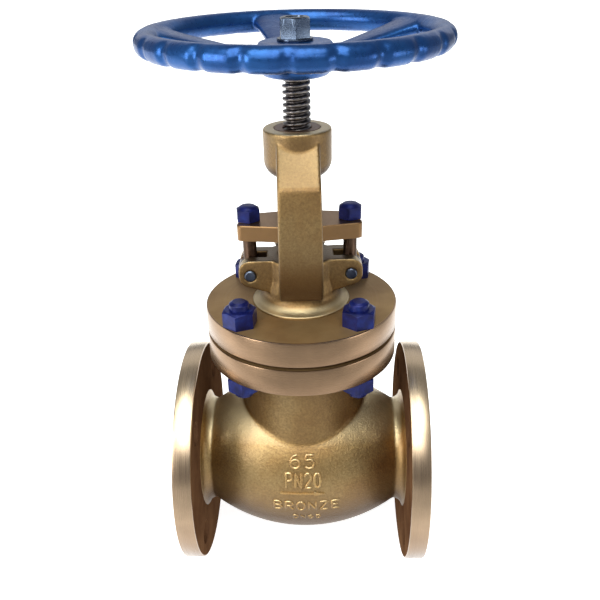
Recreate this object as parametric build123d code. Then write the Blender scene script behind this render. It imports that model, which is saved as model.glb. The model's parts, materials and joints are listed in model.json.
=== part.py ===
from build123d import *
import math
import os

# Globe valve, 2 1/2 inch (DN 65), class 150: cast bronze body with flanged ends, bolted bonnet,
# outside screw and yoke, rising stem with the handwheel fixed on it, two-bolt gland with
# swinging eyebolts. Millimetres. It is built with the stem axis on Z and the flow axis on X, and
# moved at the end so that the origin is the centre of the inlet flange's face.

# ---------------------------------------------------------------- driving dimensions
# End flanges
FLANGE_OD = 178.0
FLANGE_THICK = 14.3
FACE_TO_FACE = 190.5
BOLT_CIRCLE = 139.7
BOLT_HOLE = 19.0
BOLT_COUNT = 4
BORE = 63.5

# Body
BELLY_RADIUS = 64.0
BELLY_END_RADIUS = 38.4
BELLY_HALF = 77.0
HUB_RADIUS = 40.0
HUB_FILLET = 4.0
HUB_HALF = 74.0
WALL = 8.0
NECK_BASE_RADIUS = 52.5
NECK_WAIST_RADIUS = 48.5
NECK_TOP_RADIUS = 46.0
CHAMBER_RADIUS = 41.0
COVER_RADIUS = 72.2
NECK_PARTING = 58.0
BODY_TOP_LOW = 98.7
BODY_TOP = 119.1
BONNET_LOW = 121.8
BONNET_TOP = 140.9

# Seat, disc and lift (the disc is modelled fully open)
SEAT_TOP = 9.0
SEAT_RING_RADIUS = 37.3
DISC_RADIUS = 36.0
LIFT = 24.0
SEAT_GAP = 0.2
DISC_HUB_RADIUS = 22.0
SOCKET_RADIUS = 15.6
THRUST_THICK = 3.0
DISC_NUT_FLATS = 36.0
DISC_NUT_HEIGHT = 9.0

# Bonnet joint studs and nuts (9/16 inch)
STUD_CIRCLE = 119.9
STUD_RADIUS = 7.144
STUD_HOLE_RADIUS = 7.9
STUD_LOW = 80.5
STUD_HIGH = 159.0
NUT_FLATS = 22.2
NUT_HEIGHT = 12.3
NUT_TWIST = 8.0

# Stem, packing and gland
STEM_RADIUS = 9.525
STEM_BORE = 9.85
THREAD_PITCH = 4.2333
THREAD_DEPTH = 2.2
THREAD_LOW = 234.5
BOX_RADIUS = 15.875
BOX_LOW = 143.0
BOX_WALL_RADIUS = 25.0
BOX_BOSS_RADIUS = 37.0
BOX_BOSS_TOP = 142.3
BOX_TOP = 178.0
BUSH_SEAT = 127.0
BACKSEAT_RADIUS = 14.4
BACKSEAT_TOP = 137.9
PACKING_RINGS = 4
PACKING_STEP = 6.35
GLAND_LOW = 193.3
GLAND_TOP = 204.8
GLAND_HALF = 45.0
COLLAR_RADIUS = 19.0
COLLAR_LOW = 186.0
COLLAR_BORE_RADIUS = 13.0

# Eyebolts and their lugs
PIN_X = 37.0
PIN_Z = 166.0
PIN_RADIUS = 4.2
EYE_RADIUS = 9.3
EYE_HALF = 4.9
EAR_GAP_HALF = 5.5
EAR_GAP_START = 22.4
EAR_GAP_LOW = 154.0
EAR_HALF = 14.5
LUG_TOP = 177.8
LUG_END_RADIUS = 8.8
EYEBOLT_RADIUS = 5.0
EYEBOLT_TOP = 213.6
GLAND_NUT_FLATS = 16.0
GLAND_NUT_LOW = 205.1
GLAND_NUT_HEX_TOP = 213.0
GLAND_NUT_TOP = 216.2

# Yoke (it stands on the bonnet flange turned a little from the bolt holes)
YOKE_TWIST = 3.0
ARM_TOP_HALF_WIDTH = 14.4
ARM_FOOT_HALF_WIDTH = 15.8
YOKE_HUB_RADIUS = 23.85
YOKE_HUB_LOW = 238.0
YOKE_HUB_TOP = 271.5
BUSH_RADIUS = 16.0
BUSH_LOW = 243.0

# Handwheel
RIM_RADIUS = 96.3
RIM_SECTION = 7.9
RIM_Z = 330.6
RIM_GROOVES = 24
SPOKES = 5
SPOKE_PHASE = 102.3
SPOKE_HUB_HALF = 8.5
SPOKE_RIM_HALF = 16.0
SPOKE_THICK = 9.0
WHEEL_HUB_RADIUS = 25.0
WHEEL_HUB_LOW = 305.5
WHEEL_HUB_TOP = 328.0
SQUARE = 13.4
TIP_RADIUS = 6.0
WASHER_RADIUS = 12.0
WASHER_THICK = 1.8
WHEEL_NUT_FLATS = 19.0
WHEEL_NUT_TOP = 342.8

# ---------------------------------------------------------------- worked-out sizes
STEM_X = FACE_TO_FACE / 2
DISC_LOW = SEAT_TOP + LIFT + SEAT_GAP
DISC_TOP = DISC_LOW + 28
SOCKET_LOW = DISC_LOW + 13
FIT = 0.1
PACKING_LOW = BOX_LOW + 2.9


# ---------------------------------------------------------------- shared shapes
def turned(*points):
    """Solid of revolution about Z from a closed outline of (radius, height) points."""
    outline = Polyline(*[(radius, 0, height) for radius, height in points], close=True)
    return revolve(make_face(outline), Axis.Z)


def rod(radius, low, high):
    """Upright cylinder on the Z axis."""
    return Pos(0, 0, low) * Cylinder(radius, high - low, align=(Align.CENTER, Align.CENTER, Align.MIN))


def flow_rod(radius, start, end):
    """Cylinder on the flow axis."""
    return Pos((start + end) / 2, 0, 0) * Rot(0, 90, 0) * Cylinder(radius, abs(end - start))


def hexagon(flats, low, high, twist=0.0):
    """Upright hexagonal bar with a corner towards -Y, turned by twist degrees."""
    profile = RegularPolygon(flats / 2, 6, major_radius=False)
    return Pos(0, 0, low) * Rot(0, 0, 90 - twist) * extrude(profile, high - low)


def hex_nut(flats, low, high, bore, twist=0.0, both_faces=False):
    """Hexagonal nut with its corners turned back by 30 degree cones."""
    corner = flats / math.sqrt(3)
    drop = (corner - flats / 2) * math.tan(math.radians(30)) * 1.6
    low_drop = drop if both_faces else 0.0
    cone = turned(
        (0, low),
        (corner - low_drop / math.tan(math.radians(30)), low),
        (corner + 0.1, low + low_drop),
        (corner + 0.1, high - drop),
        (corner + 0.1 - drop / math.tan(math.radians(30)), high),
        (0, high),
    )
    return (hexagon(flats, low, high, twist) & cone) - rod(bore, low - 1, high + 1)


def on_circle(diameter, count, phase, shape):
    """Copies of a shape, each moved out to a circle about Z without being turned."""
    places = []
    for index in range(count):
        angle = math.radians(phase + 360 * index / count)
        places.append(Pos(diameter / 2 * math.cos(angle), diameter / 2 * math.sin(angle), 0) * shape)
    return places


def belly(mid_radius, end_radius, half_length):
    """Barrel about the flow axis whose outline is one arc."""
    arc = ThreePointArc(
        (-half_length, 0, end_radius), (0, 0, mid_radius), (half_length, 0, end_radius)
    )
    base = Polyline(
        (half_length, 0, end_radius), (half_length, 0, 0),
        (-half_length, 0, 0), (-half_length, 0, end_radius)
    )
    return revolve(make_face(arc.edges() + base.edges()), Axis.X)


# ---------------------------------------------------------------- body and seat
def body_outside():
    """Belly, bonnet neck, bonnet flange and the two end flanges, solid right through."""
    base_z = 30.0
    waist_z = 50.0
    top_z = 82.0
    curve = Spline(
        (NECK_BASE_RADIUS, 0, base_z),
        (NECK_WAIST_RADIUS, 0, waist_z),
        (NECK_TOP_RADIUS, 0, top_z),
        tangents=[(-0.3, 0, 1), (0, 0, 1)],
    )
    rest = Polyline(
        (NECK_TOP_RADIUS, 0, top_z),
        (NECK_TOP_RADIUS, 0, BODY_TOP_LOW + 1),
        (0, 0, BODY_TOP_LOW + 1),
        (0, 0, 0),
        (NECK_BASE_RADIUS, 0, 0),
        (NECK_BASE_RADIUS, 0, base_z),
    )
    neck = revolve(make_face(curve.edges() + rest.edges()), Axis.Z)
    shell = belly(BELLY_RADIUS, BELLY_END_RADIUS, BELLY_HALF) + neck
    crease = shell.edges().filter_by(lambda edge: edge.center().Z > 20 and abs(edge.center().X) < 60)
    crease = crease.filter_by(lambda edge: edge.bounding_box().max.Z < NECK_PARTING + 4)
    shell = fillet(crease, 5)
    for side in (-1, 1):
        inner = side * (FACE_TO_FACE / 2 - FLANGE_THICK)
        hub = flow_rod(HUB_RADIUS, side * (HUB_HALF - 6), inner)
        flange = flow_rod(FLANGE_OD / 2, inner, side * FACE_TO_FACE / 2)
        flange = chamfer(flange.edges(), 0.8)
        joined = hub + flange
        root = joined.edges().filter_by(GeomType.CIRCLE)
        root = root.filter_by(lambda edge: abs(edge.radius - HUB_RADIUS) < 0.01)
        root = root.filter_by(lambda edge: abs(edge.center().X - inner) < 0.01)
        shell += fillet(root, HUB_FILLET)
    cover = chamfer(rod(COVER_RADIUS, BODY_TOP_LOW, BODY_TOP).edges(), 0.8)
    return shell + cover


def partition():
    """S-shaped wall: over the inlet, level round the seat, under the outlet."""
    slope_x = 80.0
    slope_z = 42.0
    level_x = 46.0
    path = Polyline((-slope_x, slope_z), (-level_x, 0), (level_x, 0), (slope_x, -slope_z))
    wall = trace(path, WALL)
    boss_low = -9.0
    boss_high = 5.0
    return extrude(Plane.XZ * wall, BELLY_RADIUS, both=True) + rod(level_x, boss_low, boss_high)


def passage():
    """Everything inside the body's outer wall: flow passage and bonnet chamber."""
    hollow = belly(BELLY_RADIUS - WALL, BELLY_END_RADIUS - WALL, BELLY_HALF)
    hollow += flow_rod(BORE / 2, -FACE_TO_FACE / 2 - 1, FACE_TO_FACE / 2 + 1)
    return hollow + rod(CHAMBER_RADIUS, 0, BODY_TOP + 1)


def body_shell(inside):
    """Body casting without its partition, with its bolt holes."""
    casting = body_outside() - inside
    flange_mid = (FACE_TO_FACE - FLANGE_THICK) / 2
    hole = Cylinder(BOLT_HOLE / 2, FLANGE_THICK + 4)
    for place in on_circle(BOLT_CIRCLE, BOLT_COUNT, 180 / BOLT_COUNT, hole):
        casting -= Pos(-flange_mid, 0, 0) * Rot(0, 90, 0) * place
        casting -= Pos(flange_mid, 0, 0) * Rot(0, 90, 0) * place
    for place in on_circle(STUD_CIRCLE, 4, 45, rod(STUD_HOLE_RADIUS, BODY_TOP_LOW - 1, BODY_TOP + 1)):
        casting -= place
    return casting


def region(x=(-200, 200), y=(-200, 200), z=(-200, 400)):
    """Box between the given limits."""
    size = (x[1] - x[0], y[1] - y[0], z[1] - z[0])
    return Pos(x[0], y[0], z[0]) * Box(*size, align=(Align.MIN, Align.MIN, Align.MIN))


def body_sections():
    """The body casting as simple sections that meet face to face."""
    inside = passage()
    shell = body_shell(inside)
    seat_hole = rod(SEAT_RING_RADIUS + FIT, -WALL * 1.5, SEAT_TOP)
    end = FACE_TO_FACE / 2 - FLANGE_THICK
    middle = (-end, end)
    sections = {
        "body_inlet_flange": shell & region(x=(-200, -end)),
        "body_outlet_flange": shell & region(x=(end, 200)),
        "body_cover_flange": shell & region(z=(BODY_TOP_LOW, 400)),
        "body_neck": shell & region(x=middle, z=(NECK_PARTING, BODY_TOP_LOW)),
        "body_partition": (partition() & inside) - seat_hole,
    }
    for face, across in (("front", (-200, 0)), ("back", (0, 200))):
        for level, upright in (("low", (-200, 0)), ("high", (0, NECK_PARTING))):
            sections[f"body_{face}_{level}"] = shell & region(middle, across, upright)
    return sections


def seat_ring():
    """Ring screwed into the partition, with a raised flange and a bevelled seat."""
    flange_radius = 39.8
    flange_low = 5.1
    bevel = 3.0
    return turned(
        (BORE / 2, -9.0),
        (SEAT_RING_RADIUS, -9.0),
        (SEAT_RING_RADIUS, flange_low),
        (flange_radius, flange_low),
        (flange_radius, SEAT_TOP - 1),
        (flange_radius - 1, SEAT_TOP),
        (BORE / 2 + bevel, SEAT_TOP),
        (BORE / 2, SEAT_TOP - bevel / 2),
    )


def bonnet_gasket():
    """Flat ring between the body and bonnet flanges, inside the bolts."""
    return rod(STUD_CIRCLE / 2 - STUD_HOLE_RADIUS - 1, BODY_TOP, BONNET_LOW) - rod(
        CHAMBER_RADIUS + 0.3, BODY_TOP - 1, BONNET_LOW + 1
    )


# ---------------------------------------------------------------- bonnet with yoke
def arm_face():
    """Side outline of one yoke arm, as (distance from the stem, height) points."""
    foot = (29.5, 152.0)
    knee = (40.5, 239.0)
    crown = (16.0, 270.0)
    outer = ThreePointArc(foot, (43.9, 206.0), knee)
    inner = ThreePointArc((28.5, 233.5), (32.4, 206.0), (17.0, 156.0))
    top = Polyline(knee, crown, (6.0, 262.0), (6.0, 254.0), (28.5, 233.5))
    bottom = Line((17.0, 156.0), foot)
    return make_face(outer.edges() + inner.edges() + top.edges() + bottom.edges())


def yoke_arm():
    """One arm of the yoke, wider at its foot, with softened long edges, on the +Y side."""
    face = arm_face()
    knees = face.vertices().filter_by(lambda v: 230 < v.Y < 245)
    face = fillet(knees, 7)
    front = Polyline(
        (-ARM_FOOT_HALF_WIDTH, 150), (ARM_FOOT_HALF_WIDTH, 150),
        (ARM_TOP_HALF_WIDTH, 275), (-ARM_TOP_HALF_WIDTH, 275), close=True
    )
    arm = extrude(Plane.YZ * face, 20, both=True) & extrude(Plane.XZ * make_face(front), 60, both=True)
    sides = arm.edges().filter_by(lambda edge: abs(edge.center().X) > ARM_TOP_HALF_WIDTH - 1)
    return fillet(sides, 1.6)


def hub_blank():
    """Round boss at the top of the yoke, rounded underneath."""
    shoulder = 250.0
    neck_radius = 15.0
    curve = ThreePointArc(
        (neck_radius, 0, YOKE_HUB_LOW), (21.4, 0, 242.2), (YOKE_HUB_RADIUS, 0, shoulder)
    )
    rest = Polyline(
        (YOKE_HUB_RADIUS, 0, shoulder),
        (YOKE_HUB_RADIUS, 0, YOKE_HUB_TOP - 1),
        (YOKE_HUB_RADIUS - 1, 0, YOKE_HUB_TOP),
        (0, 0, YOKE_HUB_TOP),
        (0, 0, YOKE_HUB_LOW),
        (neck_radius, 0, YOKE_HUB_LOW),
    )
    return revolve(make_face(curve.edges() + rest.edges()), Axis.Z)


def eyebolt_lugs():
    """Left and right lugs, each split into a front and a rear ear."""
    slope = math.radians(17)
    end_x = PIN_X - 0.4
    high_z = LUG_TOP - LUG_END_RADIUS
    low_z = high_z - 3.6
    low_x = end_x + LUG_END_RADIUS * math.sin(slope)
    under_z = low_z - LUG_END_RADIUS * math.cos(slope)
    root_x = 20.0
    root_z = under_z - (low_x - root_x) * math.tan(slope)
    web = make_face(
        Polyline(
            (0, root_z), (root_x, root_z), (low_x, under_z), (end_x, low_z),
            (end_x + LUG_END_RADIUS, low_z), (end_x + LUG_END_RADIUS, high_z),
            (end_x, high_z), (end_x, LUG_TOP), (0, LUG_TOP), close=True
        )
    )
    outline = web + Pos(end_x, high_z) * Circle(LUG_END_RADIUS) + Pos(end_x, low_z) * Circle(LUG_END_RADIUS)
    lug = extrude(Plane.XZ * outline, EAR_HALF, both=True)
    lug = lug + mirror(lug, Plane.YZ)
    slot = Pos(EAR_GAP_START, 0, EAR_GAP_LOW) * Box(
        40, 2 * EAR_GAP_HALF, 40, align=(Align.MIN, Align.CENTER, Align.MIN)
    )
    lug -= slot
    lug -= mirror(slot, Plane.YZ)
    for side in (-1, 1):
        lug -= Pos(side * PIN_X, 0, PIN_Z) * Rot(90, 0, 0) * Cylinder(PIN_RADIUS + 0.05, 4 * EAR_HALF)
    return lug


def bonnet_neck():
    """Low boss, fillet and stuffing box rising from the bonnet flange."""
    root_fillet = 10.0
    neck_radius = BOX_BOSS_RADIUS - root_fillet
    neck_top = BOX_BOSS_TOP + 2 * root_fillet
    step = root_fillet * (1 - math.sin(math.radians(45)))
    curve = ThreePointArc(
        (BOX_BOSS_RADIUS, 0, BOX_BOSS_TOP),
        (neck_radius + step, 0, BOX_BOSS_TOP + step),
        (neck_radius, 0, BOX_BOSS_TOP + root_fillet),
    )
    rest = Polyline(
        (neck_radius, 0, BOX_BOSS_TOP + root_fillet),
        (BOX_WALL_RADIUS, 0, neck_top),
        (BOX_WALL_RADIUS, 0, BOX_TOP - 1),
        (BOX_WALL_RADIUS - 1, 0, BOX_TOP),
        (0, 0, BOX_TOP),
        (0, 0, BONNET_TOP - 2),
        (BOX_BOSS_RADIUS, 0, BONNET_TOP - 2),
        (BOX_BOSS_RADIUS, 0, BOX_BOSS_TOP),
    )
    return revolve(make_face(curve.edges() + rest.edges()), Axis.Z)


def bonnet_bores():
    """Stem passage: dome over the chamber, bush bore, stem hole and stuffing box."""
    dome_low = BONNET_LOW - 6
    dome_radius = 30.0
    crown_radius = 22.0
    stem_hole = 11.0
    return turned(
        (0, dome_low),
        (dome_radius, dome_low),
        (dome_radius, BONNET_LOW),
        (crown_radius, BUSH_SEAT),
        (BACKSEAT_RADIUS + FIT, BUSH_SEAT),
        (BACKSEAT_RADIUS + FIT, BACKSEAT_TOP + FIT),
        (stem_hole, BACKSEAT_TOP + FIT),
        (stem_hole, BOX_LOW),
        (BOX_RADIUS, BOX_LOW),
        (BOX_RADIUS, BOX_TOP + 1),
        (0, BOX_TOP + 1),
    )


def bonnet_bores():
    """Stem passage: dome over the chamber, bush bore, stem hole and stuffing box."""
    dome_low = BONNET_LOW - 6
    return turned(
        (0, dome_low),
        (30.0, dome_low),
        (30.0, 122.0),
        (22.0, 127.0),
        (14.5, 127.0),
        (14.5, 138.0),
        (11.0, 138.0),
        (11.0, BOX_LOW),
        (BOX_RADIUS, BOX_LOW),
        (BOX_RADIUS, BOX_TOP + 1),
        (0, BOX_TOP + 1),
    )


def bonnet_flange():
    """Bonnet flange with its spigot and stud holes."""
    spigot_low = BONNET_LOW - 5
    casting = chamfer(rod(COVER_RADIUS, BONNET_LOW, BONNET_TOP).edges(), 0.8)
    casting += rod(CHAMBER_RADIUS - 0.4, spigot_low, BONNET_LOW + 1)
    casting -= bonnet_bores()
    for place in on_circle(STUD_CIRCLE, 4, 45, rod(STUD_HOLE_RADIUS, BONNET_LOW - 1, BONNET_TOP + 1)):
        casting -= place
    return casting


def stuffing_box():
    """Boss, stuffing box and eyebolt lugs over the bonnet flange."""
    return (bonnet_neck() & region(z=(BONNET_TOP, 400))) + eyebolt_lugs() - bonnet_bores()


def yoke_hub():
    """The yoke's top boss, bored for the threaded bush and its set screw."""
    casting = hub_blank() - rod(11.0, YOKE_HUB_LOW - 1, YOKE_HUB_TOP + 1)
    casting -= rod(BUSH_RADIUS, BUSH_LOW, YOKE_HUB_TOP + 1)
    return casting - set_screw_place(set_screw_blank(2.6, BUSH_RADIUS - 1, YOKE_HUB_RADIUS + 2))


def free_arm():
    """The yoke arm on the +Y side, ended where it meets the stuffing box and the yoke hub."""
    return yoke_arm() - bonnet_neck() - hub_blank()


def set_screw_blank(radius, start, end):
    """Short cylinder pointing away from the stem along X."""
    return Pos((start + end) / 2, 0, 0) * Rot(0, 90, 0) * Cylinder(radius, end - start)


def set_screw_place(shape):
    """Moves a shape made along X to the yoke hub's set screw hole."""
    return Pos(0, 0, 262) * Rot(0, 0, 42) * shape


def yoke_bush():
    """Threaded bush that the stem screws through."""
    return turned(
        (STEM_BORE, BUSH_LOW + FIT),
        (BUSH_RADIUS - FIT, BUSH_LOW + FIT),
        (BUSH_RADIUS - FIT, YOKE_HUB_TOP),
        (STEM_BORE + 0.8, YOKE_HUB_TOP),
        (STEM_BORE, YOKE_HUB_TOP - 0.8),
    )


def bush_set_screw():
    """Grub screw that locks the yoke bush, with a hexagon socket."""
    socket = Pos(YOKE_HUB_RADIUS - 2.5, 0, 0) * Rot(0, 90, 0) * extrude(RegularPolygon(1.4, 6), 4)
    return set_screw_place(set_screw_blank(2.5, BUSH_RADIUS, YOKE_HUB_RADIUS - 0.4) - socket)


def backseat_bush():
    """Bush under the stuffing box that the stem's collar seals against when fully open."""
    low = BUSH_SEAT - 3.0
    mouth = STEM_BORE + 2.95
    return turned(
        (STEM_BORE, BUSH_SEAT - FIT),
        (mouth, low),
        (BACKSEAT_RADIUS, low),
        (BACKSEAT_RADIUS, BACKSEAT_TOP),
        (STEM_BORE, BACKSEAT_TOP),
    )


# ---------------------------------------------------------------- bonnet bolting
def bonnet_stud():
    """Double-ended stud with pointed ends."""
    return chamfer(rod(STUD_RADIUS, STUD_LOW, STUD_HIGH).edges().filter_by(GeomType.CIRCLE), 1.6, 2.4)


def upper_nut():
    """Heavy hexagon nut on the bonnet flange."""
    return hex_nut(NUT_FLATS, BONNET_TOP, BONNET_TOP + NUT_HEIGHT, STUD_RADIUS + FIT, NUT_TWIST)


def lower_nut():
    """Heavy hexagon nut under the body's bonnet flange."""
    return hex_nut(
        NUT_FLATS, BODY_TOP_LOW - NUT_HEIGHT, BODY_TOP_LOW, STUD_RADIUS + FIT, 0.0, both_faces=True
    )


# ---------------------------------------------------------------- packing and gland
def packing_washer():
    """Metal ring at the bottom of the stuffing box."""
    return rod(BOX_RADIUS - 0.15, BOX_LOW, PACKING_LOW - FIT) - rod(STEM_BORE, BOX_LOW - 1, PACKING_LOW + 1)


def packing_rings():
    """Square rings of braided packing stacked round the stem, each a separate solid."""
    rings = []
    for index in range(PACKING_RINGS):
        low = PACKING_LOW + index * PACKING_STEP
        high = low + PACKING_STEP - FIT
        rings.append(rod(BOX_RADIUS - FIT, low, high) - rod(STEM_RADIUS + FIT, low - 1, high + 1))
    return Compound(children=rings)


def gland_follower():
    """Sleeve that presses the packing, with a rounded collar under the gland flange."""
    low = PACKING_LOW + PACKING_RINGS * PACKING_STEP + FIT
    return turned(
        (STEM_BORE, low),
        (BOX_RADIUS - 0.3, low),
        (BOX_RADIUS - 0.3, COLLAR_LOW),
        (COLLAR_RADIUS - 1.2, COLLAR_LOW),
        (COLLAR_RADIUS, COLLAR_LOW + 1.2),
        (COLLAR_RADIUS, GLAND_LOW - 0.2),
        (COLLAR_BORE_RADIUS + 5.0, GLAND_LOW - 0.2),
        (COLLAR_BORE_RADIUS, GLAND_LOW + 3.6),
        (STEM_BORE, GLAND_LOW + 3.6),
    )


def gland_flange():
    """Two-armed flange: round in the middle, open slots at its ends for the eyebolts."""
    middle = 19.5
    end_half = 12.2
    corner = 4.0
    reach = math.hypot(GLAND_HALF, end_half)
    angle = math.atan2(end_half, GLAND_HALF) + math.acos(middle / reach)
    touch_x = middle * math.cos(angle)
    touch_y = middle * math.sin(angle)
    bar = Polyline(
        (GLAND_HALF, end_half), (touch_x, touch_y), (-touch_x, touch_y), (-GLAND_HALF, end_half),
        (-GLAND_HALF, -end_half), (-touch_x, -touch_y), (touch_x, -touch_y), (GLAND_HALF, -end_half),
        close=True
    )
    plan = make_face(bar)
    plan = fillet(plan.vertices().filter_by(lambda v: abs(v.X) > GLAND_HALF - 1), corner)
    slot_half = EYEBOLT_RADIUS + 0.5
    for side in (-1, 1):
        plan -= Pos(side * PIN_X, 0) * Circle(slot_half)
        plan -= Pos(side * (PIN_X + 10), 0) * Rectangle(20, 2 * slot_half)
    plate = extrude(Pos(0, 0, GLAND_LOW) * plan, GLAND_TOP - GLAND_LOW)
    rims = plate.edges().filter_by_position(Axis.Z, GLAND_TOP - 0.1, GLAND_TOP + 0.1)
    plate = chamfer(rims, 0.7)
    bore = COLLAR_BORE_RADIUS + 0.2
    seat_top = GLAND_LOW + 3.9
    plate -= rod(bore, GLAND_LOW - 1, GLAND_TOP + 1)
    return plate - turned((0, GLAND_LOW), (bore + 5.0, GLAND_LOW), (bore, seat_top), (0, seat_top))


def eyebolt(side):
    """Eyebolt on its pin; side is -1 for the left one and 1 for the right one."""
    eye = Rot(90, 0, 0) * Cylinder(EYE_RADIUS, 2 * EYE_HALF)
    length = EYEBOLT_TOP - PIN_Z
    shank = rod(EYEBOLT_RADIUS, EYE_RADIUS / 2, length)
    shank = chamfer(shank.edges().filter_by_position(Axis.Z, length - 0.1, length + 0.1), 1.2)
    hole = Rot(90, 0, 0) * Cylinder(PIN_RADIUS + FIT, 4 * EYE_HALF)
    return Pos(side * PIN_X, 0, PIN_Z) * (eye + shank - hole)


def eyebolt_pin(side):
    """Pin through both ears and the eyebolt, upset to a low dome at each end."""
    proud = 0.7
    half = EAR_HALF + proud
    pin = Rot(90, 0, 0) * Cylinder(PIN_RADIUS, 2 * half)
    return Pos(side * PIN_X, 0, PIN_Z) * chamfer(pin.edges().filter_by(GeomType.CIRCLE), proud)


def gland_nut(side):
    """Closed hexagon nut with a low crown, on an eyebolt."""
    corner = GLAND_NUT_FLATS / math.sqrt(3)
    crown = turned(
        (0, GLAND_NUT_LOW),
        (corner + 0.1, GLAND_NUT_LOW),
        (corner + 0.1, GLAND_NUT_HEX_TOP),
        (7.6, GLAND_NUT_HEX_TOP + 1.0),
        (5.2, GLAND_NUT_TOP - 0.5),
        (3.0, GLAND_NUT_TOP),
        (0, GLAND_NUT_TOP),
    )
    blank = hexagon(GLAND_NUT_FLATS, GLAND_NUT_LOW, GLAND_NUT_TOP, 8.0 * side) & crown
    bore = rod(EYEBOLT_RADIUS + 0.15, GLAND_NUT_LOW - 1, EYEBOLT_TOP + 0.3)
    return Pos(side * PIN_X, 0, 0) * (blank - bore)


# ---------------------------------------------------------------- disc and stem
def disc():
    """Plug disc with a bevelled seat edge and a socket for the stem's head."""
    rim_low = DISC_LOW + 1.8
    rim_top = DISC_LOW + 9
    return turned(
        (0, DISC_LOW),
        (DISC_RADIUS - 3.5, DISC_LOW),
        (DISC_RADIUS, rim_low),
        (DISC_RADIUS, rim_top),
        (DISC_RADIUS - 3, rim_top + 2),
        (DISC_HUB_RADIUS, rim_top + 6),
        (DISC_HUB_RADIUS, DISC_TOP),
        (SOCKET_RADIUS, DISC_TOP),
        (SOCKET_RADIUS, SOCKET_LOW),
        (0, SOCKET_LOW),
    )


def thrust_plate():
    """Hardened plate that the stem's head pushes on."""
    return rod(SOCKET_RADIUS - 0.4, SOCKET_LOW, SOCKET_LOW + THRUST_THICK)


def disc_nut():
    """Nut screwed into the disc, which keeps the stem's head in its socket."""
    spigot = rod(SOCKET_RADIUS - FIT, DISC_TOP - 4, DISC_TOP + 1)
    spigot -= rod(STEM_BORE, DISC_TOP - 5, DISC_TOP + 2)
    return hex_nut(DISC_NUT_FLATS, DISC_TOP, DISC_TOP + DISC_NUT_HEIGHT, STEM_BORE) + spigot


def thread_ridge(low, high):
    """Helical Acme ridge between two heights, sunk a little into the stem's core."""
    root = STEM_RADIUS - THREAD_DEPTH
    path = Helix(THREAD_PITCH, high - low, root, center=(0, 0, low))
    start = path @ 0
    half_root = THREAD_PITCH * 0.32
    half_crest = THREAD_PITCH * 0.185
    sink = 0.4
    section = Polyline(
        (root - sink, 0, start.Z - half_root),
        (STEM_RADIUS, 0, start.Z - half_crest),
        (STEM_RADIUS, 0, start.Z + half_crest),
        (root - sink, 0, start.Z + half_root),
        close=True,
    )
    return sweep(make_face(section), path=path, is_frenet=True)


def stem():
    """Rising stem: head, backseat collar, polished shaft, Acme thread, square and threaded end."""
    head_low = SOCKET_LOW + THRUST_THICK + 0.2
    head_top = head_low + 7.4
    head_radius = 13.5
    collar_radius = 12.3
    collar_low = BUSH_SEAT - 7.5
    collar_top = BUSH_SEAT - 3.4
    root = STEM_RADIUS - THREAD_DEPTH
    shaft = turned(
        (0, head_low),
        (head_radius - 4.5, head_low),
        (head_radius, head_low + 1.6),
        (head_radius, head_top),
        (STEM_RADIUS, head_top),
        (STEM_RADIUS, collar_low - 1),
        (collar_radius, collar_low),
        (collar_radius, collar_top),
        (STEM_RADIUS, collar_top + 2.8),
        (STEM_RADIUS, THREAD_LOW - 3),
        (root, THREAD_LOW),
        (root, WHEEL_HUB_LOW - 2.0),
        (0, WHEEL_HUB_LOW - 2.0),
    )
    collar = turned(
        (0, WHEEL_HUB_LOW - 3.5), (root, WHEEL_HUB_LOW - 3.5), (STEM_RADIUS, WHEEL_HUB_LOW - 2.2),
        (STEM_RADIUS, WHEEL_HUB_LOW), (0, WHEEL_HUB_LOW)
    )
    square = Pos(0, 0, WHEEL_HUB_LOW - 1) * Box(
        SQUARE, SQUARE, WHEEL_HUB_TOP - WHEEL_HUB_LOW + 0.5, align=(Align.CENTER, Align.CENTER, Align.MIN)
    )
    tip = rod(TIP_RADIUS, WHEEL_HUB_TOP - 2, WHEEL_NUT_TOP - 0.8)
    tip = chamfer(tip.edges().filter_by_position(Axis.Z, WHEEL_NUT_TOP - 0.9, WHEEL_NUT_TOP), 1.0)
    return shaft + thread_ridge(THREAD_LOW - 1, WHEEL_HUB_LOW - 4) + collar + square + tip


# ---------------------------------------------------------------- handwheel
def rim_lobes():
    """The rim as equal sectors of a torus, each with one finger groove in its outer side."""
    groove_radius = 4.5
    groove_depth = 1.8
    half_step = math.radians(180 / RIM_GROOVES)
    out = RIM_RADIUS + RIM_SECTION + groove_radius - groove_depth
    section = Plane.XZ * Pos(RIM_RADIUS, RIM_Z) * Circle(RIM_SECTION)
    sector = revolve(section, Axis.Z, 360 / RIM_GROOVES)
    cutter = rod(groove_radius, RIM_Z - 12, RIM_Z + 12)
    lobe = sector - Pos(out * math.cos(half_step), out * math.sin(half_step), 0) * cutter
    return [Rot(0, 0, 360 * index / RIM_GROOVES) * lobe for index in range(RIM_GROOVES)]


def wheel_spokes():
    """Flat spokes that climb from the hub to the rim and widen on the way."""
    start = Vector(14, 0, WHEEL_HUB_LOW + 7.5)
    end = Vector(RIM_RADIUS - 2, 0, RIM_Z + 0.7)
    along = end - start
    plane = Plane(origin=start, x_dir=along, z_dir=(-along.Z, 0, along.X))
    outline = Polyline(
        (0, -SPOKE_HUB_HALF), (along.length, -SPOKE_RIM_HALF),
        (along.length, SPOKE_RIM_HALF), (0, SPOKE_HUB_HALF), close=True
    )
    spoke = extrude(plane * make_face(outline), SPOKE_THICK / 2, both=True)
    sides = spoke.edges().filter_by(lambda edge: edge.length > along.length - 1)
    spoke = fillet(sides, 3.5)
    return [Rot(0, 0, SPOKE_PHASE + 360 * index / SPOKES) * spoke for index in range(SPOKES)]


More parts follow.
